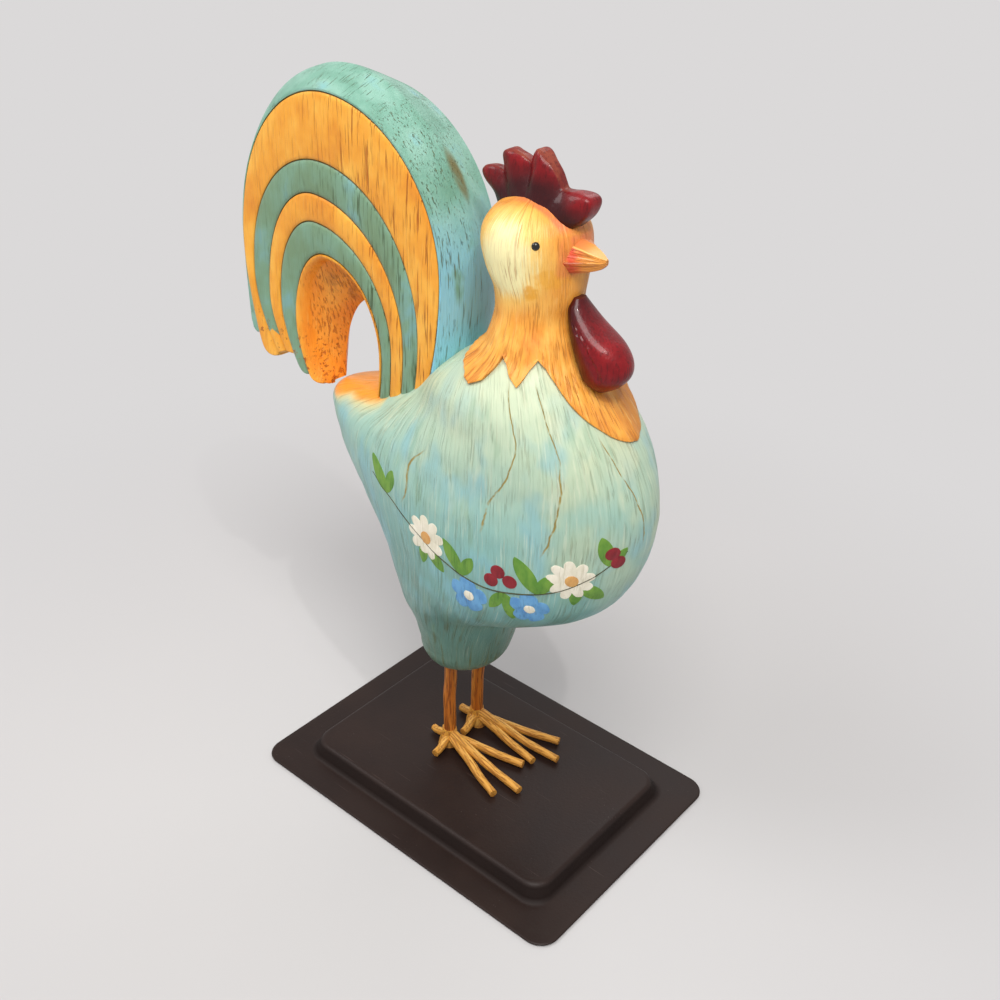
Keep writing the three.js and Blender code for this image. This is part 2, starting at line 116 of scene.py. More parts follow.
class Look:
    # a material, its nodes and the paint so far: node() adds every node, and coat() ends it

    def __init__(self, name, owner=None):
        self.material = owner or bpy.data.materials.new(name)
        self.material.use_nodes = True
        self.tree = self.material.node_tree
        self.tree.nodes.clear()
        self.colour = None    # the paint so far

    def node(self, kind, settings=None, values=None, out=0):
        # a new node with its settings, and a number, colour or wire on each named input
        made = self.tree.nodes.new("ShaderNode" + kind)
        for name, setting in (settings or {}).items():
            if name == "stops":
                ramp = made.color_ramp.elements
                while len(ramp) < len(setting):
                    ramp.new(0.5)
                for element, (at, colour) in zip(ramp, setting):
                    element.position, element.color = at, colour
            elif name == "curve":
                points = made.mapping.curves[0].points
                while len(points) < len(setting):
                    points.new(0.5, 0.5)
                for point, at in zip(points, setting):
                    point.location = at
                made.mapping.update()
            elif name == "interpolation":
                made.color_ramp.interpolation = setting
            else:
                setattr(made, name, setting)
        for name, value in (values or {}).items():
            socket = made.inputs[name]
            if isinstance(value, Wire):
                self.tree.links.new(value.socket, socket)
            else:
                socket.default_value = value
        return Wire(self, made.outputs[out])

    def maths(self, operation, *terms):
        # a Math node on wires and numbers
        return self.node("Math", {"operation": operation}, dict(enumerate(terms)))

    def blend(self, share, first, second):
        # colour that goes from the first to the second by a share of 0 to 1
        return self.node("Mix", {"data_type": "RGBA"}, {0: share, 6: first, 7: second}, 2)

    def glaze(self, share, *colour):
        # lays a colour, three parts of 0 to 255 or one wire, over the paint so far by a share of 0 to 1
        self.colour = self.blend(share, self.colour, colour[0] if len(colour) == 1 else tone(*colour))

    def places(self):
        # the point in the rooster's own millimetres, as one vector and as its three parts
        spot = self.node("TexCoord", out=3)
        spot = self.node("VectorMath", {"operation": "SUBTRACT"}, {0: spot, 1: home * mm})
        spot = self.node("VectorMath", {"operation": "SCALE"}, {0: spot, "Scale": 1 / mm})
        parts = self.node("SeparateXYZ", values={0: spot}).socket.node.outputs
        return spot, [Wire(self, part) for part in parts]

    def skin(self):
        # the share round the skin, as the first part of its UV map
        return self.node("SeparateXYZ", values={0: self.node("UVMap", {"uv_map": "skin"})})

    def skinSpot(self, radius, long=None):
        # the place on the rolled-out skin, bent to a cylinder so that no seam shows where the turn
        # starts again; its height is the point's own, or the share along times long
        share = self.skin()
        turn = share * 2 * np.pi
        if long is None:
            height = self.places()[1][2]
        else:
            height = Wire(self, share.socket.node.outputs[1]) * long
        return self.node("CombineXYZ", values={
            0: self.maths("COSINE", turn) * radius, 1: self.maths("SINE", turn) * radius, 2: height})

    def spokes(self, middle, radius):
        # straight lines down the sides and out from the middle over the top, bent round a cylinder
        x, y, z = self.places()[1]
        away = ((x - middle) ** 2 + y ** 2).root()
        return self.node("CombineXYZ", values={
            0: (x - middle) / away * radius, 1: y / away * radius, 2: z - away * 0.6})

    def mark(self, name):
        # a number kept on the mesh's points by addSurface
        return self.node("Attribute", {"attribute_name": name}, out=2)

    def noise(self, spot, size, tall=1, detail=3.0, rough=0.55, twist=0.0):
        # cloudy noise of about 0 to 1 whose blots are size millimetres, times tall upwards or by axis
        stretch = tall if isinstance(tall, tuple) else (1, 1, tall)
        scaled = self.node("VectorMath", {"operation": "DIVIDE"},
                           {0: spot, 1: [size * part for part in stretch]})
        return self.node("TexNoise", values={
            "Vector": scaled, "Scale": 1.0, "Detail": detail, "Roughness": rough, "Distortion": twist})

    def strokes(self, spot, fine=0.8, long=30):
        # long thin upright strokes of glaze left in the grain, about 0 to 1, in patches
        thin = self.noise(spot, fine, long, 2.0).rise(0.54, 0.66)
        return thin * (0.3 + self.noise(spot, 5, 4).rise(0.42, 0.62) * 0.7)

    def ramp(self, share, *stops, interpolation="LINEAR"):
        # each stop is a place of 0 to 1 and three parts of colour, 0 to 255
        stops = [(at, tone(*colour)) for at, *colour in stops]
        return self.node("ValToRGB", {"stops": stops, "interpolation": interpolation}, {0: share})

    def coat(self, roughness, height=None, depth=0.0003, shine=0.5, **fixed):
        # ends the paint so far; height is a wire of about 0 to 1 that stands depth metres proud
        values = {"Base Color": self.colour, "Roughness": roughness, "Specular IOR Level": shine}
        if height is not None:
            values["Normal"] = self.node("Bump", values={
                "Height": height, "Distance": depth, "Strength": 1.0})
        values |= {name.replace("_", " "): value for name, value in fixed.items()}
        return self.end(self.node("BsdfPrincipled", values=values))

    def end(self, shader, kind="Material"):
        # the shader's wire goes to the output
        self.tree.links.new(shader.socket, self.tree.nodes.new("ShaderNodeOutput" + kind).inputs[0])
        return self.material


def startPaint(name):
    # a look, with the point and its x, y and z in the rooster's own millimetres
    look = Look(name)
    spot, parts = look.places()
    return look, spot, *parts


def curveThrough(table, at):
    # cubic pieces through the rows of a table, whose first column is where; the slope at a row is
    # the mean of the two straight slopes beside it
    table = np.array(table, float)
    where, values = table[:, 0], table[:, 1:]
    straight = np.diff(values, axis=0) / np.diff(where)[:, None]
    slope = np.concatenate([straight[:1], (straight[1:] + straight[:-1]) / 2, straight[-1:]])
    at = np.asarray(at, float)
    i = np.clip(np.searchsorted(where, at) - 1, 0, len(where) - 2)
    wide = (where[i + 1] - where[i])[..., None]
    s = ((at - where[i])[..., None] / wide)
    return ((2 * s ** 3 - 3 * s ** 2 + 1) * values[i] + (s ** 3 - 2 * s ** 2 + s) * wide * slope[i]
            + (3 * s ** 2 - 2 * s ** 3) * values[i + 1] + (s ** 3 - s ** 2) * wide * slope[i + 1])


def joined(*parts):
    # arrays or numbers of matching shapes side by side in the last axis, as x, y and z in points
    return np.stack(np.broadcast_arrays(*parts), -1)


def smoothStep(at, low, high):
    # 0 at low, 1 at high and 3 s^2 - 2 s^3 of the share s between them
    s = np.clip((at - low) / (high - low), 0, 1)
    return s * s * (3 - 2 * s)


def unevenness(points, size, seed):
    # mean of sines along random directions, about -1 to 1, whose waves are near size millimetres long
    dice = np.random.default_rng(seed)
    ways = dice.normal(size=(9, 3))
    ways *= (2 * np.pi / size / np.linalg.norm(ways, axis=1) * dice.uniform(0.6, 1.3, 9))[:, None]
    return np.sin(points @ ways.T + dice.uniform(0, 6.28, 9)).sum(-1) / 3.5


def ringTurns(sides):
    # equal turns round a ring, from 0 to just under 2 pi
    return np.linspace(0, 2 * np.pi, sides, endpoint=False)


def addSurface(name, grids, look, slot, stands=(), sharp=35, weld=False, **marks):
    # one mesh of closed skins: each grid's rows are rings in the rooster's millimetres, joined by
    # quads, and a fan round its middle closes each end; the UV map is the share round and along
    grids = [np.asarray(grid, float) for grid in (grids if isinstance(grids, list) else [grids])]
    points, faces, corners, start = [], [], [], 0
    for grid in grids:
        rows, columns = grid.shape[:2]
        r, c = (part.ravel() for part in np.mgrid[0:rows - 1, 0:columns])
        d = (c + 1) % columns
        quads = joined(r * columns + c, r * columns + d, (r + 1) * columns + d, (r + 1) * columns + c)
        faces += (quads + start).tolist()
        u, v = joined(c, c + 1, c + 1, c) / columns, joined(r, r, r + 1, r + 1) / (rows - 1)
        corners.append(joined(u, v).reshape(-1, 2))
        around = np.arange(columns)
        after = (around + 1) % columns
        last = (rows - 1) * columns
        centre = rows * columns
        fans = np.concatenate([joined(centre, after, around),
                               joined(centre + 1, last + around, last + after)])
        faces += (fans + start).tolist()
        low = joined(joined(around + 0.5, around + 1, around) / columns, 0.0)
        high = joined(joined(around + 0.5, around, around + 1) / columns, 1.0)
        corners += [low.reshape(-1, 2), high.reshape(-1, 2)]
        points += [grid.reshape(-1, 3), grid[0].mean(0)[None], grid[-1].mean(0)[None]]
        start += rows * columns + 2
    mesh = bpy.data.meshes.new(name)
    mesh.from_pydata((np.concatenate(points) + home) * mm, [], faces)
    mesh.uv_layers.new(name="skin").data.foreach_set("uv", np.concatenate(corners).ravel())
    for mark, values in marks.items():
        values = values if isinstance(values, list) else [values]
        flat = [np.concatenate([part.ravel(), [part[0].mean(), part[-1].mean()]]) for part in values]
        mesh.attributes.new(mark, "FLOAT", "POINT").data.foreach_set("value", np.concatenate(flat))
    if weld:
        work = bmesh.new()
        work.from_mesh(mesh)
        bmesh.ops.delete(work, geom=list(work.verts)[-2:], context="VERTS")    # its ends shut by themselves
        bmesh.ops.remove_doubles(work, verts=work.verts, dist=2e-6)
        work.to_mesh(mesh)
        work.free()
    mesh.shade_smooth()
    mesh.set_sharp_from_angle(angle=np.radians(sharp))
    mesh.materials.append(look)
    piece = addObject(name, mesh)
    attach(piece, "root")
    if stands:
        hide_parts(*stands)


def tube(path, radius, sides=20, up=(0, 0, 1)):
    # a ring of the radius square to the path at each of its points
    path = np.asarray(path, float)
    ahead = np.gradient(path, axis=0)
    ahead /= np.linalg.norm(ahead, axis=1, keepdims=True)
    side = np.cross(np.broadcast_to(up, path.shape), ahead)
    side /= np.linalg.norm(side, axis=1, keepdims=True)
    over = np.cross(ahead, side)
    turn = ringTurns(sides)[None, :, None]
    return (path[:, None] + np.broadcast_to(radius, (len(path),))[:, None, None]
            * (np.cos(turn) * side[:, None] + np.sin(turn) * over[:, None]))


body = {
    # height, back, front, half width, pinch at the back
    "slices": [
        (0, -10, 11, 12, 0), (2, -15, 16, 17, 0), (6, -18.5, 20, 20.5, 0), (14, -20.7, 23, 22.4, 0),
        (26, -23.8, 26, 25.4, 0), (38, -28.7, 31, 30.3, 0), (46, -32.5, 45, 34.4, 0.05),
        (54, -37, 62.5, 38.4, 0.1), (65, -43.5, 78, 42, 0.15), (83, -57, 88.5, 45, 0.2),
        (105, -72.5, 93, 46.5, 0.25),
        (120, -75.5, 92, 46.3, 0.33), (130, -48, 88, 44.5, 0.3), (140, -25, 82.5, 41, 0.22),
        (153, -10, 72, 36, 0.07), (164, 6, 63, 28, 0.02), (173, 15.5, 56, 21.5, 0), (184, 17, 52, 17.5, 0),
        (194, 16, 52, 17, 0), (203, 12, 52.5, 19.5, 0), (212, 10, 53, 21, 0), (220, 12, 51, 19.2, 0),
        (226, 18, 45, 13.2, 0), (229.5, 26, 37, 5.5, 0)],
    "seat": 174.5,        # the top, under the neck
    "high": 180,          # what the paint's and the cracks' heights are shares of
    "uneven": 0.35,       # how far the carving wanders, millimetres
    "rows": 210,
    "sides": 224,
}
collar = {
    "proud": 1.4,
    "fade": 186,
    "twist": 7.5,
    # turn from the bib, height of the edge
    "edge": [
        (0, 142.8), (7.5, 144.2), (15, 146.6), (22.5, 150.6), (30, 155), (37.5, 160.3), (45, 166.3),
        (52.5, 171), (60, 174), (67.5, 170.3), (75, 164.5), (82.5, 167), (90, 170.7), (97.5, 173.5),
        (105, 163.5), (112.5, 160.5), (127.5, 163), (142.5, 164.5), (157.5, 167), (180, 169)],
    "sides": 288,
    "rows": 130,
}


def figureAt(turn, z, lift=0.0):
    # x = middle + cos(turn) (depth / 2 + lift), y = (half width, narrowed at the back, + lift) sin(turn)
    back, front, half, pinch = np.moveaxis(curveThrough(body["slices"], z), -1, 0)
    along = np.cos(turn)
    x = (back + front) / 2 + along * ((front - back) / 2 + lift)
    y = (half * (1 - pinch * (1 - along) / 2) + lift) * np.sin(turn)
    return joined(x, y, z)


def bodyAt(turn, z, lift=0.0):
    # the figure with the carver's slight unevenness, which fades at the stump's foot
    point = figureAt(turn, z, lift)
    wander = unevenness(point, 26, 3) * 0.7 + unevenness(point, 11, 4) * 0.3
    return figureAt(turn, z, lift + body["uneven"] * wander * smoothStep(np.asarray(z, float), 0, 12))


def bodyPaint():
    # pale teal that lightens upwards in wandering bands, then pools, saddle, grain and cracks
    look, spot, x, y, z = startPaint("bodyPaint")
    skin = look.spokes(z.rise(15, 75) * 12, 41)
    wander = look.noise(spot, 26) - 0.5
    height = (z + wander * 46) / body["high"]
    look.colour = look.ramp(height,
        (0.0, 96, 134, 120), (0.2, 108, 152, 142), (0.36, 118, 166, 160),
        (0.5, 134, 182, 176), (0.64, 156, 194, 180), (0.8, 186, 208, 182),
        (0.95, 212, 222, 188))
    front = look.noise(spot, 30, detail=2.0).rise(0.35, 0.6) * x.rise(40, 85) * z.rise(60, 100)
    look.glaze(front * 0.6, 196, 208, 172)
    pool = look.noise(spot, 18, 1.6, 2.0).rise(0.48, 0.68) * z.rise(172, 140) * z.rise(30, 70)
    look.glaze(pool * 0.6, 134, 188, 198)
    cream = look.noise(skin, 7, 4).rise(0.52, 0.7) * z.rise(80, 140)
    look.glaze(cream * 0.4, 222, 222, 184)
    green = look.noise(skin, 4, 6).rise(0.53, 0.72)
    look.glaze(green * 0.4, 136, 172, 142)
    # the orange saddle between the tail's limbs, narrower towards the back
    behind = (x + 38).size().least(17.0)
    aside = (y + 2.2).size() + behind ** 2 * 0.017 + (look.noise(spot, 9, detail=2.0) - 0.5) * 3
    onTop = z.rise(117, 120) * x.rise(-28, -31)
    look.glaze(aside.rise(26, 18) * onTop * 0.8, 230, 216, 148)
    saddle = aside.rise(21, 16.5) * onTop
    look.glaze(saddle, 240, 160, 58)
    # grain: pale and dark hairlines down the skin, brown glaze in the deeper ones
    grain = look.noise(skin, 0.55, 36, rough=0.6)
    look.glaze(grain.rise(0.56, 0.7) * 0.28, 232, 234, 208)
    look.glaze(grain.rise(0.46, 0.34) * 0.22, 112, 138, 108)
    streak = look.strokes(skin, 0.6, 26)
    look.glaze(streak * 0.27, look.blend(saddle, tone(112, 108, 58), tone(186, 104, 30)))
    # olive brown glaze in patches up the lower body, over an even darkening towards the stump's foot that is
    # painted shade under the belly
    low = z.rise(34, 0) * 0.3 + look.noise(skin, 4, 4).rise(0.52, 0.7) * z.rise(88, 34) * 0.7
    look.glaze(low * 0.8, 96, 92, 44)
    # cracks: a turn for each height, and how near the surface's own turn is
    around = look.skin()
    jitter = (look.noise(spot, 7, detail=2.0) - 0.5) * 0.006
    cracks = None
    for foot, head, line in bodyCracks:
        points = [(at / body["high"], (turn % 360) / 360) for turn, at in line]
        path = look.node("FloatCurve", {"curve": points}, {"Factor": 1.0, "Value": z / body["high"]})
        near = (around + jitter - path).size().rise(0.0015, 0.0003) * z.rise(foot - 1, foot + 6)
        near = near * z.rise(head + 1, head - 4)
        cracks = near if cracks is None else cracks.most(near)
    cracks = cracks * look.noise(spot, 4, detail=2.0).rise(0.2, 0.5)
    look.glaze(cracks * 0.95, 156, 132, 56)
    height = grain * 0.6 - streak * 0.6 - cracks * 0.6
    return look.coat(0.38 + streak * 0.2, height, 0.0003, shine=0.4)


# foot, head, then turn and height along the crack
bodyCracks = [
    (104, 165, [(-68, 104), (-63.7, 125), (-64.1, 139), (-63, 146), (-65.5, 154), (-75, 165)]),
    (100, 166, [(-48, 100), (-42.2, 118), (-42.2, 135), (-44.4, 152), (-53.7, 166)]),
    (104, 148, [(-2.5, 104), (-7, 125), (-12.8, 137), (-17, 148)]),
    (100, 128, [(-100, 100), (-94.8, 112), (-97, 128)]),
    (70, 150, [(48, 70), (52, 96), (45, 122), (49, 150)]),
    (96, 160, [(96, 96), (88, 118), (92, 140), (84, 160)]),
]

z, turn = np.meshgrid(np.linspace(0, body["seat"], body["rows"]), ringTurns(body["sides"]), indexing="ij")
addSurface("body_carved", bodyAt(turn, z), bodyPaint(), "body_paint", ["body"])
print("body made")


def headPaint():
    # orange yellow, cream round the eyes, darker on the side away from the light
    look, spot, x, y, z = startPaint("headPaint")
    skin = look.skinSpot(18)
    cloud = look.noise(spot, 7, 2)
    look.colour = look.ramp(cloud, (0.3, 228, 142, 50), (0.5, 244, 166, 66), (0.72, 253, 188, 88))
    # painted shade: the far side, away from the light, is darker
    look.glaze(y.rise(-2, 11) * 0.7, 180, 114, 48)
    # cream cheek round each eye inside a yellow halo, its edge broken into strokes by the grain
    grain = look.noise(skin, 0.5, 22, rough=0.6)
    over = ((x - 32) / 13) ** 2 + ((z - 209) / 15) ** 2 + (cloud - 0.5) * 0.8 + (grain - 0.5) * 1.6
    side = y.size().rise(8, 14)
    look.glaze(over.rise(2.4, 0.9) * side * 0.75, 253, 210, 112)
    look.glaze(over.rise(1.3, 0.3) * side * 0.95, 255, 247, 188)
    # two amber patches under the eye, each a soft oval with a broken edge
    broken = (look.noise(spot, 2.2) - 0.5) * 2.2
    ahead = (((x - 47.5) / 4) ** 2 + ((z - 204) / 4.6) ** 2 + broken).rise(1.2, 0.1)
    below = (((x - 42) / 3.2) ** 2 + ((z - 198) / 3.4) ** 2 + broken).rise(1.2, 0.1)
    stain = (ahead * 0.75).most(below) * y.rise(0, -4)
    look.glaze(stain * 0.75, 238, 164, 34)
    # pink where the comb and the beak stand on the head
    blush = y.size().rise(10.2, 8.2) * z.rise(217, 223) * x.rise(22, 30) * 0.8
    byBeak = x.rise(48, 51) * y.size().rise(12.5, 9.5) * z.rise(203, 206) * z.rise(221, 218) * 0.7
    blush = blush.most(byBeak)
    look.glaze(blush * cloud.rise(0.25, 0.6), 232, 112, 76)
    look.glaze(grain.rise(0.56, 0.7) * 0.3, 255, 226, 150)
    streak = look.strokes(skin, 0.5, 20)
    look.glaze(streak * 0.5, 186, 104, 34)
    skirt = look.noise(skin, 0.9, 9).rise(0.55, 0.64) * z.rise(186, 172)
    look.glaze(skirt * 0.5, 192, 106, 34)
    height = grain * 0.8 - streak * 0.6 - skirt * 0.6
    return look.coat(0.4 + streak * 0.15, height, 0.0003, shine=0.4)


def neckSkin():
    # rings rise from under the collar's edge, over the edge, up the skirt and on up the figure
    turn = ringTurns(collar["sides"])
    away = np.abs(np.degrees(turn) - collar["twist"])
    away = np.minimum(away, 360 - away)
    edge = curveThrough(collar["edge"], away)[:, 0]
    pointed = smoothStep(away, 40, 50) * smoothStep(away, 125, 112)
    edge += (np.interp(away, *np.transpose(collar["edge"])) - edge) * pointed
    seat = body["seat"] + 0.3
    share = np.array([0.5, 0.2, 0.03, 0, 0, 0.008, 0.03, *np.linspace(0.07, 1, 40)])
    lift = np.array([-1, -1, -0.9, -0.2, 0.7, 1.35, 1.75, *(1.95 - 0.55 * smoothStep(share[7:], 0.05, 0.6))])
    skirtZ = edge + share[:, None] * (seat - edge)
    neckZ = np.linspace(seat, body["slices"][-1][0], collar["rows"])[1:]
    neckLift = collar["proud"] * (1 - smoothStep(neckZ, seat, collar["fade"]))
    z = np.concatenate([skirtZ, np.broadcast_to(neckZ[:, None], (len(neckZ), len(turn)))])
    lift = np.concatenate([lift, neckLift])[:, None]
    point = figureAt(turn, z, lift)
    # shallow gouges run down the skirt
    gouge = np.sin(np.degrees(turn) * 0.35 + 2 * unevenness(point, 30, 8)) ** 2
    down = smoothStep(z, 184, 168) * (lift > 0.5)
    wander = unevenness(point, 18, 9) * 0.22 * smoothStep(z, 176, 184)
    return figureAt(turn, z, lift - 0.3 * gouge * down + wander)


addSurface("neck_head_carved", neckSkin(), headPaint(), "head_paint", ["neck_head"], sharp=50)

comb = {
    "x": 31.5, "z": 212, "foot": 11, "rows": 320, "sides": 112,
    # angle and reach of the rim round the middle of the head, from the brow back
    "rim": [
        (24, 16), (27, 22), (30, 27), (33.5, 30.5), (38, 32.8), (43, 32.4), (50, 29.2), (56, 26.6),
        (61, 25.2), (66, 26.4), (74, 29.4), (81, 31.8), (86, 33.6), (89.5, 34.2), (92.5, 33),
        (95.5, 29.4), (98, 29.8),
        (102, 31.2), (108, 33.2), (114, 34.3), (118.5, 33.6), (121.5, 30), (124.5, 28.2), (128, 30.4),
        (133, 32.5), (139, 34), (142.5, 33), (145, 28), (147, 19)],
    # share of the full thickness: the lobes' middles stand proud of the cuts between them
    "proud": [
        (24, 0.5), (30, 0.9), (40, 1.15), (50, 1.02), (61, 0.7), (75, 0.86), (86, 1), (95.5, 0.6),
        (104, 0.84), (113, 0.96), (124.5, 0.6), (133, 0.84), (140, 0.8), (147, 0.3)],
    "half": [(24, 5.4), (34, 7.4), (50, 8.4), (80, 8.4), (110, 7), (135, 5.8), (147, 4)],    # at the foot
    "rimHalf": 4.2,
}
beak = {
    # distance ahead, then top, ridge out and up, widest out and up, keel out and up, bottom
    "rings": [
        (46, 218.4, 6.2, 216.6, 9.8, 210, 6, 204.6, 204.3),
        (50.5, 217.9, 5.8, 216, 9.4, 210, 6, 205.3, 205),
        (55, 217.1, 4.3, 214.9, 6.8, 210.4, 4.6, 206.3, 206),
        (59, 216, 2.7, 213.6, 4.2, 210.8, 3, 207.3, 207),
        (62.4, 214.2, 1.3, 212.7, 2.1, 211, 1.5, 208.8, 208.6),
        (64, 212.8, 0.5, 212.3, 0.8, 211.6, 0.6, 210.4, 210.3)],
    "rows": 70,
}
wattle = {
    # height, back, front, half width
    "slices": [(161.5, 63.5, 68.5, 2.8), (165, 59, 74, 7.2), (172, 55.3, 78.2, 9.6), (180, 51.8, 74.4, 9.4),
               (187, 50.3, 63.4, 7.6), (192, 49.8, 57.4, 5.6), (195.4, 51.3, 55, 3)],
    "rows": 90,
    "sides": 80,
}
eyes = {"radius": 1.8, "x": 43.3, "z": 216.3, "apart": 31, "aside": -0.3}


def combSkin():
    # at each angle a squared oval from the foot out to the rim, sign(c) |c|^0.4 by sign(s) |s|^0.4,
    # thick at the foot and thinner at the rim, and thin at the cuts between the lobes
    angle = np.linspace(comb["rim"][0][0], comb["rim"][-1][0], comb["rows"])
    far = curveThrough(comb["rim"], angle)
    proud, foot = curveThrough(comb["proud"], angle), curveThrough(comb["half"], angle)
    turn = ringTurns(comb["sides"])
    out = np.sign(np.cos(turn)) * np.abs(np.cos(turn)) ** 0.4
    share = (out + 1) / 2
    r = comb["foot"] + (far - comb["foot"]) * share
    half = (foot + (comb["rimHalf"] - foot) * share) * (1 + (proud - 1) * smoothStep(r, 18, 27))
    wide = half * np.sign(np.sin(turn)) * np.abs(np.sin(turn)) ** 0.4
    a = np.radians(angle)[:, None]
    grid = joined(comb["x"] + r * np.cos(a), wide, comb["z"] + r * np.sin(a))
    grid += unevenness(grid, 7, 12)[..., None] * 0.16
    rubbed = smoothStep(share, 0.955, 0.975) * smoothStep(angle, 54, 62)[:, None]
    return grid, rubbed


def beakSkin():
    # straight-sided rings through the table, cut by fine grooves that fan out from the tip
    x = np.linspace(beak["rings"][0][0], beak["rings"][-1][0], beak["rows"])
    top, outA, upA, outB, upB, outC, upC, bottom = np.moveaxis(curveThrough(beak["rings"], x), -1, 0)
    zero = 0 * x
    outs, ups = joined(zero, outA, outB, outC, zero), joined(top, upA, upB, upC, bottom)
    corners = joined(outs, ups)
    side = np.linspace(0, 4, 49)
    i = np.minimum(side.astype(int), 3)
    share = (side - i)[:, None]
    ring = corners[:, i] * (1 - share) + corners[:, i + 1] * share
    groove = 0.22 * np.maximum(0, np.sin(side * 2 * np.pi * 2.2)) ** 3 * ((side > 1.08) & (side < 2.8))
    ring[..., 0] -= groove * smoothStep(x, 63, 57)[:, None]
    ring = np.concatenate([ring * (1, 1), ring[:, -2:0:-1] * (-1, 1)], 1)[:, ::-1]
    marks = np.concatenate([side, side[-2:0:-1]])[::-1]
    return (np.concatenate([np.broadcast_to(x[:, None, None], (*ring.shape[:2], 1)), ring], -1),
            np.broadcast_to(marks, ring.shape[:2]))


def wattleSkin():
    # level slices like the body's, with curved grooves down the middle of each side
    low, high = wattle["slices"][0][0], wattle["slices"][-1][0]
    z, turn = np.meshgrid(np.linspace(low, high, wattle["rows"]), ringTurns(wattle["sides"]), indexing="ij")
    back, front, half = np.moveaxis(curveThrough(wattle["slices"], z), -1, 0)
    across = np.cos(turn)
    line = across - 0.1 + (z - 178) * 0.028
    groove = 0.55 * np.exp(-(line / 0.06) ** 2) + 0.4 * np.exp(-((line - 0.22) / 0.05) ** 2)
    groove = groove * smoothStep(z, 164, 172) * smoothStep(z, 192, 184)
    x = (back + front) / 2 + across * (front - back) / 2
    return joined(x, (half - groove) * np.sin(turn), z), 0 * x


def crimsonPaint():
    # crimson, darkened by painted shade to maroon at the comb's foot and the wattle's back and bottom, so
    # bright where the lobes stand out; the rim's flat tops are rubbed brown
    look, spot, x, y, z = startPaint("crimsonGloss")
    cloud = look.noise(spot, 8)
    far = ((x - comb["x"]) ** 2 + (z - comb["z"]) ** 2).root()
    # painted shade: maroon at the comb's foot where it meets the head, and at the wattle's back and bottom by
    # the neck
    combFootShade = far.rise(31, 21) * z.rise(205, 208)
    low = combFootShade.most((x - 52 - (185 - z) * 0.3).rise(16, 0) * z.rise(208, 205))
    look.colour = look.ramp(cloud, (0.3, 102, 8, 14), (0.55, 130, 13, 21), (0.78, 152, 26, 30))
    look.glaze(low * 0.95, 46, 5, 10)
    rubbed = look.mark("rubbed")
    look.glaze(rubbed * 0.75, look.blend(cloud.rise(0.4, 0.6), tone(120, 40, 34), tone(142, 72, 50)))
    grain = look.noise(spot, 0.9, 12)
    look.glaze(grain.rise(0.52, 0.66) * 0.45, 58, 6, 10)
    return look.coat(0.36 + rubbed * 0.35, cloud * 0.8 + grain * 0.5, 0.0004, shine=0.2,
                     Coat_Weight=0.25, Coat_Roughness=0.05)


def beakPaint():
    # the facet mark counts the beak's faces round from its top: red root, a painted highlight as a pale line
    # on the side edge, brown below
    look, spot, x, y, z = startPaint("beakPaint")
    facet = look.mark("facet")
    look.colour = look.blend(x.rise(62, 50), tone(240, 160, 68), tone(226, 132, 56))
    topRed = facet.rise(1.0, 0.7) * x.rise(60, 52)
    look.glaze(topRed * 0.5, 222, 128, 86)
    blush = look.noise(spot, 2.5, detail=2.0).rise(0.25, 0.5) * x.rise(57.5, 53) * facet.rise(0.9, 1.1)
    look.glaze(blush * 0.9, 222, 72, 46)
    fan = look.node("CombineXYZ", values={0: facet * 9, 1: x * 0.06, 2: 0.0})
    strokes = look.noise(fan, 1.0, detail=2.0).rise(0.52, 0.62) * facet.rise(1.0, 1.15) * facet.rise(3.2, 2.9)
    look.glaze(strokes * 0.7, 164, 78, 26)
    # painted highlight: a pale line along the beak's side edge, where the light catches the ridge
    edge = (facet - 1.0).size().rise(0.1, 0.03) * x.rise(50, 53)
    look.glaze(edge * 0.8, 255, 206, 120)
    under = facet.rise(2.75, 3.1) * 0.7
    look.glaze(under, 150, 62, 28)
    return look.coat(0.36, strokes * -1, 0.00015, shine=0.45)


def eyePaint():
    # near black, polished
    look, spot, *_ = startPaint("eyeGloss")
    look.colour = look.blend(look.noise(spot, 1.5), tone(8, 7, 7), tone(26, 20, 16))
    return look.coat(0.08, shine=0.6)


def ball(centre, radius, rows=24, sides=32):
    # rings of latitude, the poles at its top and foot
    rise = np.linspace(-np.pi / 2, np.pi / 2, rows + 2)[1:-1, None]
    turn = ringTurns(sides)
    ring = joined(np.cos(rise) * np.cos(turn), np.cos(rise) * np.sin(turn), np.sin(rise))
    return np.add(centre, radius * ring)


crimson = crimsonPaint()
combGrid, combRubbed = combSkin()
addSurface("comb_carved", combGrid, crimson, "comb_paint", ["comb"], sharp=60, rubbed=combRubbed)
beakGrid, beakFacet = beakSkin()
addSurface("beak_carved", beakGrid, beakPaint(), "head_paint", ["beak"], sharp=30, facet=beakFacet)
wattleGrid, wattleRubbed = wattleSkin()
addSurface("wattle_carved", wattleGrid, crimson, "comb_paint", ["wattle"], rubbed=wattleRubbed)
eyeGloss = eyePaint()
for side, name in ((-1, "eye_right"), (1, "eye_left")):
    bead = ball((eyes["x"], side * eyes["apart"] / 2 + eyes["aside"], eyes["z"]), eyes["radius"])
    addSurface(name + "_bead", bead, eyeGloss, "eye_bead", [name])
print("head made")

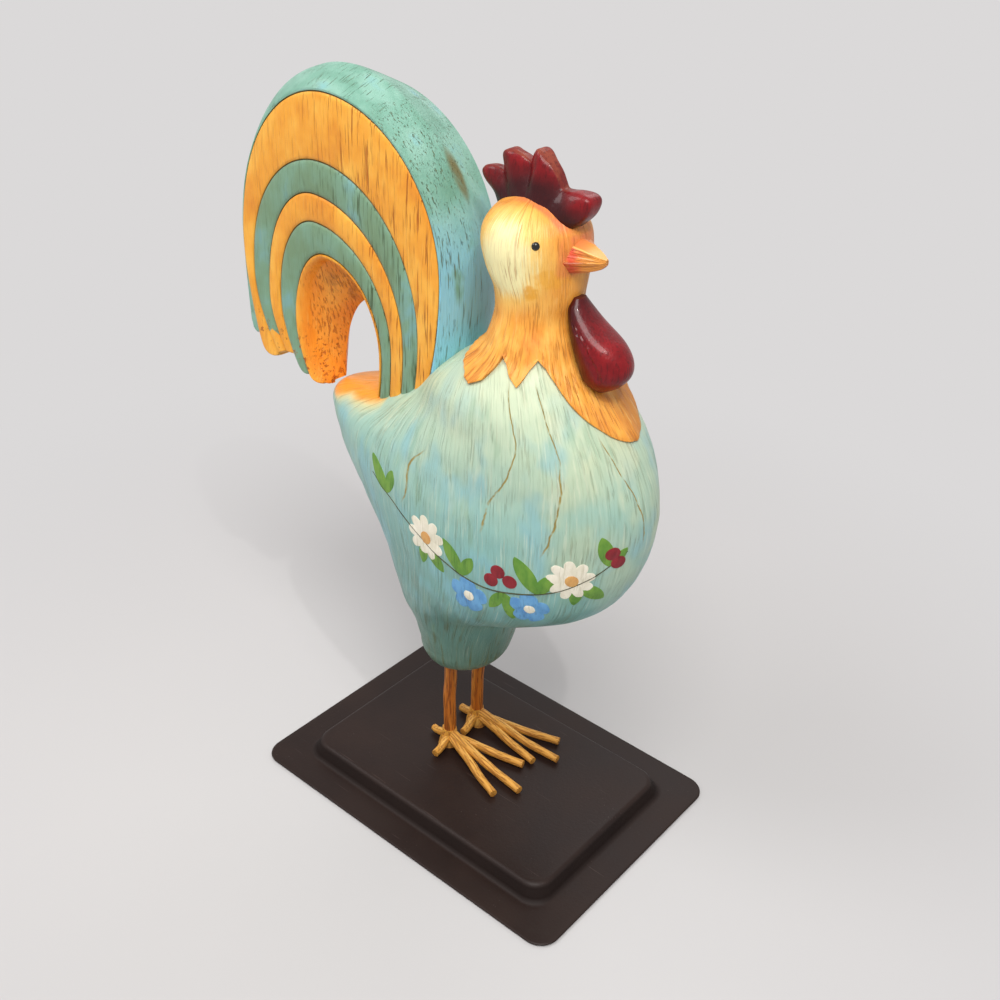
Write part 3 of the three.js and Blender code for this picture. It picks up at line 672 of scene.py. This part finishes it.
tail = {
    # arches that part the feather bands, outside in: front, spring, foot, apex, rear, fall, tip
    "arches": [
        (0.2, 189, -12, (-63, 253.2), -120.2, 178, (-119.3, 141)),
        (-1, 189, -14, (-63, 252), -119.3, 180, (-112.4, 136.5)),
        (-12.5, 162, -18, (-68, 224.2), -114, 168, (-101, 130.2)),
        (-21, 156, -24, (-72, 210), -104.3, 160, (-95.5, 132.8)),
        (-28, 152, -30, (-72, 198), -97, 158, (-88.5, 133.2)),
        (-33.5, 148, -36, (-66, 185.3), -87.3, 152, (-80.6, 127)),
        (-36.5, 146, -39, (-64, 182), -82.5, 152, (-74, 123))],
    "waist": (-38.5, 146, -41, (-54, 164.5), -73.5, 122, (-74.5, 121.5)),    # the hole's narrowest arch
    "foot": 124,
    "limb": 0.16,
    "middle": -2.2,
    "near": [(0, -19.2), (1, -17.6)],      # the flat side towards the viewer, along the arch
    "half": [(0, 17), (0.6, 17), (0.84, 16.2), (0.9, 12.5), (0.95, 9.3), (1, 5.4)],
    "crown": [(0, 8), (0.16, 7.2), (0.27, 3.4), (0.36, 4.5), (0.5, 7), (0.68, 10.5), (0.85, 8), (1, 3)],
    "groove": 0.7,        # depth of the cut lines
    "grooveHalf": 0.5,
    # each band's tongue: how far it hangs, lean
    "tips": [(3.5, 0.6), (6.2, 0.62), (0, 1), (0, 1), (4.2, 0.8), (1.6, 1)],
    "overlap": 0.9,       # how far each band's outer edge stands over its neighbour near the tips
    "lip": 4.5,           # how deep the hole's rounded edge is
    "rows": 320,
    "endRows": 8,
}


def archPoint(arch, t):
    # up the front limb by a square law, over the top as two quarter ovals, down the rear limb
    front, spring, foot, apex, rear, fall, tip = arch
    limb = tail["limb"]
    s = 1 - t / limb
    up = joined(front + s * s * (foot - front), spring - s * (spring - tail["foot"]))
    s = (t - 1 + limb) / limb
    down = joined(rear + s * s * (tip[0] - rear), fall - s * (fall - tip[1]))
    turn = np.clip(np.pi * (t - limb) / (1 - 2 * limb), 0, np.pi)
    side = np.where(turn < np.pi / 2, front, rear)
    base = np.where(turn < np.pi / 2, spring, fall)
    over = joined(apex[0] + np.abs(np.cos(turn)) * (side - apex[0]), base + (apex[1] - base) * np.sin(turn))
    return np.where((t < limb)[:, None], up, np.where((t > 1 - limb)[:, None], down, over))


def tailSkin():
    # one side runs from the ridge over the crown, across the flat bands and their cut lines and round
    # into the hole; the other side mirrors it, and past the tips the rows close in to the middle
    t = np.linspace(0, 1, tail["rows"])
    lines = [archPoint(arch, t) for arch in tail["arches"]]
    half = curveThrough(tail["half"], t)[:, 0]
    lip = np.minimum(tail["lip"], half * 0.5)
    middle = curveThrough(tail["near"], t)[:, 0] + half
    crown = curveThrough(tail["crown"], t)
    out = lines[0] - lines[2]
    out /= np.linalg.norm(out, axis=1, keepdims=True)
    spots, ys, bands, grooves = [], [], [], []

    def column(spot, y, band, groove=0.0):
        # keeps one line of the skin along the arch, with its marks
        spots.append(spot), ys.append(np.broadcast_to(y, t.shape))
        bands.append(np.full(t.shape, float(band))), grooves.append(np.full(t.shape, groove))

    def tongue(i, s):
        # how far the band's end hangs at a share s of its width: far sin(pi s^lean)^0.6
        far, lean = tail["tips"][i]
        drop = far * np.abs(np.sin(np.pi * s ** lean)) ** 0.6 * smoothStep(t, 0.9, 1)
        return joined(0 * drop, -drop)

    creased = (smoothStep(t, 0.1, 0.2) * smoothStep(t, 0.62, 0.45))[:, None]
    for s in np.linspace(0, 1, 16):
        straight, domed = 1 - s ** 1.1, 1 - s ** 2.6
        column(lines[0] + out * crown * (domed + (straight - domed) * creased), half * s, s - 1)
    for s in (0.15, 0.3, 0.45):
        column(lines[0] + (lines[1] - lines[0]) * s + tongue(0, s), half, s)
    for i in range(1, len(lines) - 1):
        back, on = lines[i - 1] - lines[i], lines[i + 1] - lines[i]
        for along, sign in ((back, -1), (on, 1)):
            wide = np.maximum(np.linalg.norm(along, axis=1), 0.1)
            share = np.minimum(0.4, tail["grooveHalf"] / wide)[:, None]
            column(lines[i] + along * share, half, i + sign * 0.02)
            if sign < 0:
                column(lines[i], half - tail["groove"], i, 1.0)
        for s in np.linspace(0, 1, 18 if i == 1 else 9)[1:-1]:
            proud = 0.5 * np.sin(np.pi * s) ** 0.7
            proud = proud + tail["overlap"] * (1 - s) ** 0.7 * smoothStep(t, 0.72, 0.9)
            inner = lip * s ** 2.4 if i == 5 else 0.0
            column(lines[i] + on * s + tongue(i, s), half + proud - inner, i + s)
    # the hole slopes in to its waist, half way through, with gouge strokes that run down the slope
    waist, edge = archPoint(tail["waist"], t), half - lip
    sway = [0.0] * len(spots)
    for s in np.linspace(0, 1, 26):
        gouge = 0.35 * np.sin(t * 150 + 5 * np.sin(t * 9) + s * 7) ** 3
        gouge = gouge * np.sin(np.pi * s) * smoothStep(t, 0.2, 0.3)
        bulge = (0.9 * np.sin(np.pi * s) + gouge)[:, None]
        slope = waist - lines[6]
        length = np.maximum(np.linalg.norm(slope, axis=1, keepdims=True), 1)
        column(lines[6] + slope * (s ** 1.15 + bulge / length), edge * (1 - s) ** 0.9, 6 + s * 0.9)
        sway.append(s)
    spot, y = np.stack(spots, 1), np.stack(ys, 1)
    near = joined(spot[..., 0], -y, spot[..., 1])
    grid = np.concatenate([near * (1, -1, 1), near[:, -2:0:-1]], 1)
    band, groove = (np.stack(parts + parts[-2:0:-1], 1) for parts in (bands, grooves))

    def close(row, way):
        # past an end the row closes in to the middle and rounds over by a millimetre or so
        shut = np.linspace(0, np.pi / 2, tail["endRows"] + 1)[1:, None, None]
        return row * (1, 0, 1) + row * (0, 1, 0) * np.cos(shut) ** 0.8 + np.array(way) * np.sin(shut)

    # the waist keeps to the middle of the whole tail, or inside the far side where the limb thins
    sway = np.array(sway + sway[-2:0:-1])
    waistY = np.minimum(tail["middle"], middle + half * 0.75)
    across = middle[:, None] + (waistY - middle)[:, None] * sway
    shift = joined(0 * across, across, 0 * across)
    grid = np.concatenate([close(grid[0], (0, 0, -1))[::-1] + shift[0], grid + shift,
                           close(grid[-1], (0, 0, -1.2)) + shift[-1]])
    ends = ((tail["endRows"],) * 2, (0, 0))
    return grid, np.pad(band, ends, "edge"), np.pad(groove, ends, "edge")


def tailPaint():
    # the band mark picks green or orange, and the groove mark darkens the cut lines
    look, spot, x, y, z = startPaint("tailPaint")
    along = look.skinSpot(30, 420)
    band, groove = look.mark("band"), look.mark("groove")
    cloud = look.noise(spot, 13, 1.4)
    orange = look.ramp(cloud, (0.3, 232, 146, 40), (0.5, 246, 168, 54), (0.7, 255, 190, 76))
    green = look.ramp(cloud, (0.32, 118, 148, 114), (0.56, 124, 162, 136), (0.72, 124, 172, 172))
    wash = look.noise(along, 9, 3)
    crown = look.ramp(wash, (0.3, 108, 156, 134), (0.46, 122, 172, 152),
                             (0.6, 142, 188, 170), (0.75, 132, 186, 186))
    crown = look.blend(z.rise(226, 190) * wash.rise(0.3, 0.5) * x.rise(-40, -20), crown, tone(138, 204, 226))
    inside = look.ramp(cloud, (0.3, 232, 128, 26), (0.5, 244, 152, 42), (0.7, 250, 170, 62))
    # every other band is orange
    stops = [(i / 8, *(255 * (i % 2),) * 3) for i in range(6)]
    isOrange = look.ramp(band / 8, *stops, interpolation="CONSTANT")
    # the second band's green stops short of its tip, where the wide orange feather shows under it
    short = (z + (band - 2.5).size() * 5 - 141).rise(0.3, -0.3) * band.rise(1.98, 2.0) * band.rise(3.02, 3.0)
    isOrange = isOrange.most(short * x.rise(-80, -90))
    look.colour = look.blend(band.rise(0.98, 1.0), crown, green)
    look.glaze(isOrange, orange)
    look.glaze(band.rise(5.0, 6.0), inside)
    grain = look.noise(spot, 0.6, (1, 1.5, 30), rough=0.6)
    look.glaze(grain.rise(0.58, 0.72) * 0.25, look.blend(isOrange, tone(158, 190, 160), tone(255, 210, 110)))
    flat = band.rise(0.9, 1.0) * band.rise(6.0, 5.8)
    front = 0.35 + x.rise(-85, -35) * 0.65
    streak = look.strokes(spot, 0.75, 24) * front * flat
    dark = look.blend(isOrange, tone(66, 84, 46), tone(172, 84, 16))
    look.glaze(streak * 0.85, dark)
    onCrown = band.rise(0.7, 0.2)
    patch = look.noise(spot, 9).rise(0.4, 0.56) * onCrown
    overTop = look.noise(spot, 0.55, (1, 24, 10), rough=0.6).rise(0.6, 0.67) * x.rise(-28, -44)
    downLimb = look.noise(spot, 0.6, (2, 1, 32), rough=0.6).rise(0.6, 0.67) * x.rise(-44, -28)
    hatch = overTop.most(downLimb) * patch
    look.glaze(hatch * 0.65, 104, 104, 54)
    bold = look.noise(spot, 0.9, (2, 1, 34), 2.0, 0.6).rise(0.61, 0.68) * onCrown * y.rise(1, -6)
    bold = bold * x.rise(-44, -28)
    look.glaze(bold * 0.7, 96, 98, 46)
    recess = ((x + 10) / 9) ** 2 + ((y - 1) / 3.4) ** 2 + ((z - 228) / 15) ** 2 + (wash - 0.5) * 1.6
    recess = recess.rise(1.3, 0)
    look.glaze(recess * wash.rise(0.2, 0.45) * 0.9, 112, 98, 42)
    # brown glaze lies on the slope of the hole and in drops at the tips, and painted shade darkens the inside
    # of the hole near its top
    scratch = look.noise(spot, 0.7, (1, 5, 5), 2.0).rise(0.54, 0.64) * band.rise(5.9, 6.05)
    look.glaze(scratch * 0.7, 178, 92, 22)
    # painted shade inside the hole, near its top
    shade = look.noise(spot, 5).rise(0.4, 0.6) * (((x + 62) / 14) ** 2 + ((z - 170) / 9) ** 2).rise(1.2, 0.2)
    look.glaze(shade * band.rise(5.9, 6.05) * 0.6, 158, 86, 24)
    worn = look.noise(spot, 2.2).rise(0.58, 0.68) * z.rise(156, 134) * x.rise(-58, -75)
    look.glaze(worn * 0.85, 150, 58, 14)
    cut = groove.rise(0.25, 0.75)
    look.glaze(cut * 0.9, look.blend(x.rise(-76, -92), tone(92, 74, 32), tone(74, 44, 16)))
    height = grain * 0.7 - streak * 0.7 - hatch * 0.9 - bold * 0.9 - scratch * 0.5
    return look.coat(0.38 + streak * 0.2, height, 0.0004, shine=0.4)


tailGrid, tailBand, tailGroove = tailSkin()
addSurface("tail_carved", tailGrid, tailPaint(), "tail_paint", ["tail"], sharp=60, weld=True,
           band=tailBand, groove=tailGroove)
print("tail made")

legs = {
    "radius": 3.1, "spacing": 20.4, "low": -59.2, "high": 34, "floor": -51,
    "toeRadius": 2.1,
    # side, place, then each toe's length and angle from straight ahead
    "feet": [("right", -1, [("inner", 40, 15), ("outer", 43, -19), ("middle", 48.5, -5)]),
             ("left", 1, [("inner", 41, -7), ("outer", 44, 19), ("middle", 49, 4.5)])],
    "ankle": {"middle": 7.6, "inner": 5, "outer": 5},
    "spur": (11, 176), "stub": (13, -80), "spurHigh": 5, "spurLow": 2.4,
    "toeStart": 2.0, "hubHigh": 9.6, "hubNeck": 3.3, "hubFlare": 2.1,
}


def legGrid(y):
    # an upright rod whose radius wanders a little
    z = np.linspace(legs["low"], legs["high"], 90)
    path = joined(0.0, y, z)
    wobble = unevenness(path, 14, 21) * 0.18 * smoothStep(z, -51, -46)
    return tube(path + joined(wobble, wobble * 0.6, 0 * z), legs["radius"] - 0.08, 28, (1, 0, 0))


def toeGrid(y, length, angle, high, low, seed):
    # a round rod that comes down from the ankle to the plate and tapers a little to a cut end
    share = np.linspace(0, 1, 60)
    rise = curveThrough([(0, 1), (0.25, 0.62), (0.6, 0.14), (1, 0)], share)[:, 0]
    out = legs["toeStart"] + share * (length - legs["toeStart"])
    a = np.radians(angle)
    bend = unevenness(joined(out, seed * 7, rise), 34, seed) * 0.5 * np.sin(np.pi * share)
    path = joined(out * np.cos(a) - bend * np.sin(a), y + out * np.sin(a) + bend * np.cos(a),
                  legs["floor"] + low + rise * (high - low))
    radius = legs["toeRadius"] * (1.04 - 0.16 * share) + 0.1 * unevenness(path, 9, seed + 1)
    return tube(path, radius, 24)


def hubGrid(y, seed):
    # a lump of filler round the rod that flares to the plate by the share down to the power 1.3
    z, turn = np.meshgrid(np.linspace(0.2, legs["hubHigh"], 28), ringTurns(40), indexing="ij")
    down = 1 - z / legs["hubHigh"]
    r = legs["hubNeck"] + legs["hubFlare"] * down ** 1.3 + 0.5 * np.sin(turn * 3 + seed) * down
    grid = joined(r * np.cos(turn), y + r * np.sin(turn), legs["floor"] + z)
    return grid + unevenness(grid, 6, seed)[..., None] * np.array((0.2, 0.2, 0))


def footPaint(name, low, middle, high, dark, run):
    # streaks follow the rods: upright ones by the stretch, the toes round their own skin
    look, spot, x, y, z = startPaint(name)
    if run is None:
        spot, run = look.skinSpot(2.4, 40), (1, 1, 9)
    cloud = look.noise(spot, 4, run)
    look.colour = look.ramp(cloud, (0.3, *low), (0.5, *middle), (0.72, *high))
    streak = look.noise(spot, 0.8, run).rise(0.48, 0.62)
    look.glaze(streak * 0.7, *dark)
    # painted shade: darker over the last few millimetres down to the plate
    look.glaze(z.rise(-46, -50.5) * 0.4, *dark)
    return look.coat(0.45, cloud - streak * 0.6, 0.0003, shine=0.4)


legPaint = footPaint("legPaint", (162, 84, 24), (194, 112, 38), (226, 150, 62), (100, 43, 13), (1, 1, 14))
toePaint = footPaint("toePaint", (196, 132, 46), (222, 160, 66), (240, 190, 98), (150, 82, 26), None)
for side, sign, toes in legs["feet"]:
    y = sign * legs["spacing"] / 2
    addSurface(f"leg_{side}_painted", legGrid(y), legPaint, "leg_paint", [f"leg_rod_{side}"])
    addSurface(f"hub_{side}_filler", hubGrid(y, 2 + sign), toePaint, "foot_paint", [f"hub_{side}"])
    low = legs["toeRadius"] + 0.15
    for i, (name, length, angle) in enumerate(toes):
        toe = toeGrid(y, length, angle, legs["ankle"][name], low, 31 + i + 5 * sign)
        addSurface(f"toe_{name}_{side}_painted", toe, toePaint, "foot_paint", [f"toe_{name}_{side}"])
    for i, name in enumerate(("spur", "stub")):
        length, angle = legs[name]
        toe = toeGrid(y, length, angle, legs["spurHigh"], legs["spurLow"], 51 + i + 5 * sign)
        addSurface(f"{name}_{side}_painted", toe, toePaint, "foot_paint", [f"{name}_{side}"])
print("legs made")

tray = {
    "length": 178, "width": 128, "corner": 9.5, "sheet": 1.2, "flange": 13.7, "panel": 9,
    "lean": 0.7, "press": 2.7,    # how far the wall leans, radius of its bends
}


def traySkin():
    # a profile of inset and height carried round a rectangle with round corners
    length, width, corner, sheet, flange, panel, lean, press = tray.values()
    bendSteps, cornerSteps = 9, 12
    wall = flange + press * 2 + lean
    under = panel - sheet

    def bend(inset, z, start, end):
        # a quarter round of the press's radius, from one turn to the other
        turn = np.linspace(start, end, bendSteps)
        return joined(inset + press * np.sin(turn), z - press * np.cos(turn))

    right = np.pi / 2
    rim = np.linspace(-right, right, 7)
    half = sheet / 2
    hem = joined(half - half * np.cos(rim), half + half * np.sin(rim))
    profile = np.concatenate([
        [(wall + 30, under), (wall + sheet, under)],
        bend(wall + half, under - press, np.pi, np.pi + right),
        bend(flange + sheet, press, right, 0), [(4, 0)], hem, [(4, sheet)],
        bend(flange - half, sheet + press, 0, right),
        bend(wall, panel - press, -right, -np.pi),
        [(wall + 6, panel), (wall + 30, panel)]])
    inset, z = profile[:, :1], profile[:, 1:]
    turn = np.concatenate([np.linspace(q, q + 1, cornerSteps) * right for q in range(4)])
    signX = np.repeat((1, -1, -1, 1), cornerSteps)
    signY = np.repeat((1, 1, -1, -1), cornerSteps)
    corner = corner + 0 * inset
    x = signX * (length / 2 - inset - corner) + corner * np.cos(turn)
    y = signY * (width / 2 - inset - corner) + corner * np.sin(turn)
    return joined(x, y, z) - stump


def trayPaint():
    # dark brown satin paint, with painted shade darkening the wall round the panel
    look, spot, x, y, z = startPaint("trayPaint")
    cloud = look.noise(spot, 40)
    look.colour = look.ramp(cloud, (0.3, 33, 21, 18), (0.7, 43, 29, 24))
    dust = look.noise(spot, 0.8, detail=2.0).rise(0.68, 0.8) * look.noise(spot, 25, detail=2.0).rise(0.4, 0.7)
    look.glaze(dust * 0.25, 150, 135, 128)
    scratch = look.noise(spot, 1.2, (30, 1, 1), 2.0, twist=0.3).rise(0.7, 0.78)
    look.glaze(scratch * 0.2, 110, 92, 88)
    # painted shade: the wall between the flange and the panel is darkened, and a little rougher
    wallShade = z.rise(-58.9, -58) * z.rise(-51.3, -52.8)
    look.glaze(wallShade * 0.5, 20, 13, 11)
    orangePeel = look.noise(spot, 1.4, detail=2.0)
    return look.coat(0.38 + cloud * 0.16 + wallShade * 0.2, orangePeel, 0.00006, shine=0.22)


addSurface("tray_pressed", traySkin(), trayPaint(), "base_steel", ["tray"], sharp=30)
print("tray made")


def onBody(turn, z, across, up):
    # a place on the body reached from (turn, z) by millimetres across and up its tangent plane
    step = 0.5
    here = figureAt(turn, z)
    around = (figureAt(turn + 0.01, z) - here) / 0.01
    rise = (figureAt(turn, z + step) - here) / step
    side = around / np.linalg.norm(around)
    lean = rise @ side
    over = rise - lean * side
    dz = up / np.linalg.norm(over)
    return turn + (across - lean * dz) / np.linalg.norm(around), z + dz


def petal(turn, z, across, up, heading, long, wide, blunt=1.0, lift=0.12):
    # a closed thin dab: rings that shrink from a leaf-shaped outline, wide sin(s)^blunt about its
    # length, and lie on the body round (turn, z)
    ring = ringTurns(36)
    share = np.array([0.9, 1.0, 0.97, 0.8, 0.5, 0.2])[:, None]
    rises = np.array([-0.3, -0.1, lift * 0.7, lift, lift * 1.2, lift * 1.3])[:, None]
    along = long / 2 * np.cos(ring) * share
    over = wide / 2 * np.sign(np.sin(ring)) * np.abs(np.sin(ring)) ** blunt * share
    a = np.radians(heading)
    dx = across + (long / 2 + along) * np.cos(a) - over * np.sin(a)
    dz = up + (long / 2 + along) * np.sin(a) + over * np.cos(a)
    where = onBody(turn, z, dx, dz)
    return bodyAt(where[0], where[1], rises)


def vineGrid(line, radius=0.32):
    # a fine round line that half sinks into the body along a path of turn and height
    line = np.array(line, float)
    s = np.linspace(0, len(line) - 1, 30 * len(line))
    path = curveThrough(np.column_stack([np.arange(len(line)), line]), s)
    points = bodyAt(np.radians(path[:, 0]), path[:, 1], 0.02)
    taper = np.sin(np.pi * np.clip((s / s[-1]) * 0.98 + 0.01, 0, 1)) ** 0.25
    return tube(points, radius * taper, 8)


def plainPaint(name, low, high, dark):
    # a blend of two tones by soft noise, with faint dark streaks
    look, spot, *_ = startPaint(name)
    look.colour = look.blend(look.noise(spot, 4, 2).rise(0.35, 0.65), tone(*low), tone(*high))
    streak = look.noise(spot, 0.9, 16, 4.0).rise(0.52, 0.7)
    look.glaze(streak * 0.4, *dark)
    return look.coat(0.5, streak, 0.00008, shine=0.35)


garland = {
    "vine": [(-114, 105), (-98, 92), (-84, 83), (-70, 79), (-56, 80), (-42, 84), (-28, 92), (-12, 104)],
    # place along the vine, heading and length of each pair of leaves
    "sprigs": [(0.4, 128, 12), (1.4, -42, 11), (2.5, 118, 11), (3.7, -64, 11), (4.6, 112, 12), (5.7, -34, 11),
               (6.5, 104, 10)],
    # turn, height, width
    "daisies": [(-91, 90, 21), (-35, 91, 20)],
    "blossoms": [(-74, 71, 18), (-48.5, 73, 17)],
    "berries": [(-62.5, 89), (-58, 85.5), (-65, 84), (-19.5, 104), (-16, 99.5)],
    # two tones, then the streaks' tone
    "tones": {
        "vine": ((60, 66, 44), (84, 86, 56), (50, 44, 26)),
        "leaf": ((92, 142, 52), (118, 160, 62), (52, 90, 30)),
        "petal": ((232, 226, 204), (246, 240, 222), (176, 168, 130)),
        "heart": ((206, 150, 88), (226, 176, 104), (150, 96, 44)),
        "berry": ((126, 24, 36), (146, 34, 44), (84, 14, 22)),
        "blossom": ((92, 150, 204), (112, 172, 218), (70, 110, 150)),
    },
}


def garlandLeaves():
    # a long and a short leaf at each place along the vine, the short one turned back
    line = np.array(garland["vine"], float)
    table = np.column_stack([np.arange(len(line)), line])
    leaves = []
    for s, heading, long in garland["sprigs"]:
        turn, z = curveThrough(table, np.array(s))
        leaves.append(petal(np.radians(turn), z, 0, 0, heading, long * 1.5, long * 0.62, 1.5))
        leaves.append(petal(np.radians(turn), z, 0, 0, heading - 55, long * 1.1, long * 0.5, 1.5, 0.15))
    return leaves


def flowerPetals(turn, z, wide, count=9, blunt=0.8):
    # petals that spread evenly round a middle, each a little over the one before
    return [petal(np.radians(turn), z, wide * 0.12 * np.cos(a), wide * 0.12 * np.sin(a), np.degrees(a),
                  wide * 0.38, wide * 2.2 / count, blunt, 0.16 + 0.03 * (i % 2))
            for i, a in enumerate(ringTurns(count) + 0.3)]


def flowerHeart(turn, z, wide):
    # a round dab over the petals' feet
    return petal(np.radians(turn), z, -wide * 0.14, 0, 0, wide * 0.28, wide * 0.28, 1, 0.34)


paints = {name: plainPaint(name + "Paint", *tones) for name, tones in garland["tones"].items()}
for name, paint, dabs in (
        ("vine", "vine", vineGrid(garland["vine"])),
        ("leaves", "leaf", garlandLeaves()),
        ("daisies", "petal", sum((flowerPetals(*spec) for spec in garland["daisies"]), [])),
        ("blossoms", "blossom", sum((flowerPetals(*spec, 5, 0.7) for spec in garland["blossoms"]), [])),
        ("hearts", "heart", [flowerHeart(*spec) for spec in garland["daisies"]]),
        ("stars", "petal", [flowerHeart(*spec) for spec in garland["blossoms"]]),
        ("berries", "berry", [petal(np.radians(turn), z, -3.2, 0, 0, 6.4, 6.4, 1, 0.3)
                              for turn, z in garland["berries"]])):
    addSurface("garland_" + name, dabs, paints[paint], "body_paint")
print("garland made")


def zincPaint():
    # pale grey metal, cloudy in colour and in gloss
    look, spot, *_ = startPaint("zincPlate")
    cloud = look.noise(spot, 3)
    look.colour = look.ramp(cloud, (0.3, 168, 168, 164), (0.7, 206, 206, 200))
    return look.coat(0.3 + cloud * 0.25, cloud, 0.00004, Metallic=1.0)


def beechWood():
    # bare wood with upright grain
    look, spot, *_ = startPaint("beechWood")
    grain = look.noise(spot, 1.2, 12, 4.0)
    look.colour = look.ramp(grain, (0.3, 206, 172, 128), (0.7, 226, 200, 160))
    return look.coat(0.7, grain, 0.0001)


zinc, beech = zincPaint(), beechWood()
for name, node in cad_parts.items():
    kept = zinc if name.startswith(("washer", "nut")) else beech if "dowel" in name else None
    if kept:
        node.data.materials.clear()
        node.data.materials.append(kept)


backdrop = {"tone": (219, 217, 217), "half": 6, "below": -0.0004, "glowFrom": 120, "glowTo": 450}
lamps = {
    # place, height that it aims at, size, watts, colour
    "key": ((0.4, -0.5, 1.25), 0.15, 0.7, 11, (1, 0.985, 0.96)),
    "spark": ((0.6, -0.35, 1.2), 0.15, 0.03, 2, (1, 0.985, 0.96)),
    "fill": ((-0.8, -0.7, 1.2), 0.15, 0.7, 6, (1, 1, 1)),
    "back": ((-0.3, 1.0, 1.2), 0.2, 0.7, 3, (1, 1, 1)),
}


def seenBy(look):
    # 1 for the rays that show a backdrop, straight or through a mirror or glass, 0 for those that light
    ray = look.node("LightPath").socket.node.outputs
    kinds = ("Is Camera Ray", "Is Glossy Ray", "Is Transmission Ray")
    camera, glossy, through = (Wire(look, ray[kind]) for kind in kinds)
    return camera.most(glossy).most(through)


def addFloor():
    # plain pale paper; far from the figurine its own glow, seen by the camera alone, evens it out
    look, spot, x, y, z = startPaint("floorPaper")
    pale = look.blend(look.noise(spot, 300, detail=2.0), tone(199, 197, 197), tone(204, 202, 202))
    paper = look.node("BsdfPrincipled", values={
        "Base Color": pale, "Roughness": 0.8, "Specular IOR Level": 0.1})
    glow = look.node("Emission", values={"Color": tone(*backdrop["tone"]), "Strength": 1.0})
    away = ((x + 20) ** 2 + (y - 7) ** 2) ** 0.5
    far = away.rise(backdrop["glowFrom"], backdrop["glowTo"])
    mixed = look.node("MixShader", values={0: far * seenBy(look), 1: paper, 2: glow})
    look.end(mixed)
    mesh = bpy.data.meshes.new("floor")
    half, below = backdrop["half"], backdrop["below"]
    corners = [(sx * half, sy * half, below) for sx, sy in ((-1, -1), (1, -1), (1, 1), (-1, 1))]
    mesh.from_pydata(corners, [], [(0, 1, 2, 3)])
    mesh.materials.append(look.material)
    floor = addObject("floor", mesh)


def addRoom():
    # a plain world that lights softly and shows as pale as the floor
    world = bpy.data.worlds.new("room")
    look = Look("room", world)
    glow = look.node("Background", values={
        "Color": tone(*backdrop["tone"]), "Strength": 0.65 + seenBy(look) * 0.35})
    look.end(glow, "World")
    bpy.context.scene.world = world


def addLamp(name, place, aimHigh, size, power, colour):
    # a round area lamp at the place, turned towards the point aimHigh above the middle
    data = bpy.data.lights.new(name, "AREA")
    data.shape, data.size, data.energy, data.color = "DISK", size, power, colour
    lamp = addObject(name, data)
    lamp.location = place
    lamp.rotation_euler = (Vector((0, 0, aimHigh)) - Vector(place)).to_track_quat("-Z", "Y").to_euler()


addFloor()
for name, values in lamps.items():
    addLamp(name, *values)
addRoom()
bpy.context.scene.view_settings.view_transform = "Standard"

print("floor and light made")
